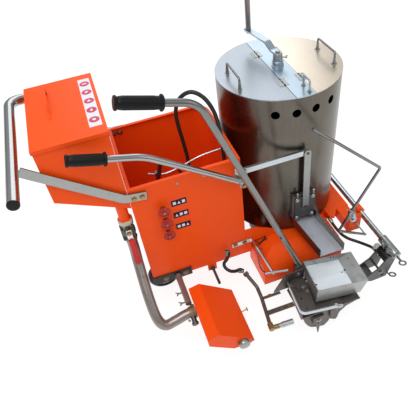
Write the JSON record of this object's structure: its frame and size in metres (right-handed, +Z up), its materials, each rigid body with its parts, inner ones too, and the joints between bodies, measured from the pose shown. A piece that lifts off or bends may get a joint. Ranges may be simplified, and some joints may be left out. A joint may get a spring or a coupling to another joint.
{
  "type": "hand-pushed thermoplastic road marker",
  "caption": "Hand-pushed thermoplastic line striping machine: round stainless kettle, orange gas and glass-bead boxes, marking shoe on a lateral bar, bead spreader, levers and folded pointer.",
  "frame": {"origin": "Centre of the bounding box at ground level, where the wheels, the marking shoe and the bead spreader stand.", "axes": "+X is the machine's travelling direction, from the push bar to the front; +Y is to its left; +Z is up."},
  "size_m": [1.2576, 0.9414, 1.1968],
  "materials": {
    "orange": "gloss orange enamel",
    "stainless": "brushed stainless sheet",
    "zinc": "bright zinc plating",
    "chrome": "polished chrome tube",
    "dark_steel": "blackened steel, sooty",
    "rubber": "matte black rubber",
    "red": "gloss red",
    "brass": "worn brass"
  },
  "bodies": {
    "frame": {"chassis_frame": "orange", "wheel_housing_near": "orange", "wheel_housing_far": "orange", "lateral_bar": "chrome", "gas_box": "orange", "bead_box": "orange", "bead_outlet": "orange", "bead_valve": "zinc", "bead_feed_pipe": "zinc", "bead_spreader": "orange", "spreader_bracket": "dark_steel", "spreader_stay": "dark_steel", "push_bar": "chrome", "push_bar_strap": "zinc", "tank_shell": "stainless", "tank_pot": "stainless", "burner": "dark_steel", "lid_strip": "stainless", "gate_housing": "dark_steel", "gate_plate": "zinc", "lever_bracket": "zinc", "chute": "stainless", "rest_bracket": "zinc", "front_axle": "zinc", "gas_valve_rail": "brass", "torch": "dark_steel", "cylinder_hose": "rubber", "heater_hose": "rubber", "shoe_hose": "rubber"},
    "bead_lid": {"bead_lid": "orange"},
    "bead_valve_lever": {"bead_valve_lever": "red"},
    "bead_roller": {"bead_roller": "dark_steel"},
    "lid_rear": {"lid_rear": "stainless"},
    "lid_front": {"lid_front": "stainless"},
    "stirrer": {"stirrer": "dark_steel", "crank": "zinc"},
    "crank_sleeve": {"crank_sleeve": "chrome"},
    "gate_blade": {"gate_blade": "stainless"},
    "gate_lever": {"gate_lever": "zinc"},
    "hand_lever": {"hand_lever": "chrome", "hand_lever_grip": "rubber"},
    "gate_link": {"gate_link": "zinc"},
    "shoe": {"shoe_hopper": "stainless", "shoe_body": "dark_steel", "shoe_strap": "zinc", "shoe_carrier": "dark_steel", "shoe_lever": "zinc", "shoe_lever_grip": "rubber", "gas_manifold": "dark_steel"},
    "shoe_gate": {"shoe_gate": "stainless"},
    "carrier_eyebolt": {"carrier_eyebolt": "zinc"},
    "pointer": {"pointer_rod": "zinc", "pointer_clamp": "dark_steel"},
    "caster_fork": {"caster_fork": "zinc"},
    "caster_wheel": {"caster_wheel": "rubber"},
    "front_wheel_near": {"front_wheel_near": "rubber"},
    "front_wheel_far": {"front_wheel_far": "rubber"},
    "gas_knob_1": {"gas_knob_1": "red"},
    "gas_knob_2": {"gas_knob_2": "red"},
    "gas_knob_3": {"gas_knob_3": "red"}
  },
  "joints": [
    {"name": "bead_lid", "type": "hinge", "parent": "frame", "child": "bead_lid", "pos_m": [-0.30725, 0.09669, 0.9975], "axis": [0, 1, 0], "range_deg": [0, 100]},
    {"name": "bead_valve_lever", "type": "hinge", "parent": "frame", "child": "bead_valve_lever", "pos_m": [-0.34425, -0.12531, 0.58], "axis": [0, 1, 0], "range_deg": [0, 90]},
    {"name": "bead_roller", "type": "hinge", "parent": "frame", "child": "bead_roller", "pos_m": [-0.05275, -0.31331, 0.144], "axis": [0, 1, 0], "continuous": true},
    {"name": "lid_rear", "type": "hinge", "parent": "frame", "child": "lid_rear", "pos_m": [0.30705, 0.12069, 0.9348], "axis": [0, 1, 0], "range_deg": [0, 75]},
    {"name": "lid_front", "type": "hinge", "parent": "frame", "child": "lid_front", "pos_m": [0.37945, 0.12069, 0.9348], "axis": [0, -1, 0], "range_deg": [0, 75]},
    {"name": "stirrer", "type": "hinge", "parent": "frame", "child": "stirrer", "pos_m": [0.34125, 0.12069, 0.95], "axis": [0, 0, 1], "continuous": true},
    {"name": "crank_sleeve", "type": "hinge", "parent": "stirrer", "child": "crank_sleeve", "pos_m": [0.30425, 0.30469, 1.07], "axis": [0, 0, 1], "continuous": true},
    {"name": "hand_lever", "type": "hinge", "parent": "frame", "child": "hand_lever", "pos_m": [0.09525, -0.13331, 0.656], "axis": [0, 1, 0], "range_deg": [0, 20]},
    {"name": "gate_link", "type": "hinge", "parent": "hand_lever", "child": "gate_link", "pos_m": [0.09825, -0.12821, 0.711], "axis": [0, 1, 0], "range_deg": [-25, 1]},
    {"name": "gate_lever", "type": "hinge", "parent": "frame", "child": "gate_lever", "pos_m": [0.34825, -0.13331, 0.437], "axis": [0, 1, 0], "range_deg": [-1, 6]},
    {"name": "gate_blade", "type": "slide", "parent": "frame", "child": "gate_blade", "axis": [0, 0, 1], "range_m": [0, 0.02]},
    {"name": "shoe_lift", "type": "hinge", "parent": "frame", "child": "shoe", "pos_m": [0.60925, -0.35331, 0.305], "axis": [0, 1, 0], "range_deg": [0, 6], "deforming": ["shoe_hose", "heater_hose"]},
    {"name": "carrier_eyebolt", "type": "hinge", "parent": "shoe", "child": "carrier_eyebolt", "pos_m": [0.60925, -0.40981, 0.305], "axis": [0, 1, 0], "range_deg": [0, 360]},
    {"name": "pointer", "type": "hinge", "parent": "frame", "child": "pointer", "pos_m": [0.54625, -0.18181, 0.325], "axis": [0, -1, 0], "range_deg": [0, 18]},
    {"name": "caster_swivel", "type": "hinge", "parent": "frame", "child": "caster_fork", "pos_m": [-0.21375, 0.06069, 0.22], "axis": [0, 0, 1], "continuous": true},
    {"name": "caster_wheel", "type": "hinge", "parent": "caster_fork", "child": "caster_wheel", "pos_m": [-0.25875, 0.06069, 0.07], "axis": [0, 1, 0], "continuous": true},
    {"name": "front_wheel_near", "type": "hinge", "parent": "frame", "child": "front_wheel_near", "pos_m": [0.36125, -0.14931, 0.115], "axis": [0, 1, 0], "continuous": true},
    {"name": "front_wheel_far", "type": "hinge", "parent": "frame", "child": "front_wheel_far", "pos_m": [0.36125, 0.39069, 0.115], "axis": [0, 1, 0], "continuous": true},
    {"name": "shoe_gate", "type": "slide", "parent": "shoe", "child": "shoe_gate", "axis": [0.0698, 0.9976, 0], "range_m": [0, 0.05]},
    {"name": "gas_knob_1", "type": "hinge", "parent": "frame", "child": "gas_knob_1", "pos_m": [-0.20575, -0.12431, 0.63], "axis": [0, 1, 0], "range_deg": [0, 540]},
    {"name": "gas_knob_2", "type": "hinge", "parent": "frame", "child": "gas_knob_2", "pos_m": [-0.20575, -0.12431, 0.57], "axis": [0, 1, 0], "range_deg": [0, 540]},
    {"name": "gas_knob_3", "type": "hinge", "parent": "frame", "child": "gas_knob_3", "pos_m": [-0.20575, -0.12431, 0.508], "axis": [0, 1, 0], "range_deg": [0, 540]}
  ],
  "couplings": [
    {"joint": "gate_link", "follows": "hand_lever", "ratio": -1.035},
    {"joint": "gate_lever", "follows": "hand_lever", "ratio": 0.197},
    {"joint": "gate_blade", "follows": "hand_lever", "m_per_rad": 0.055}
  ]
}
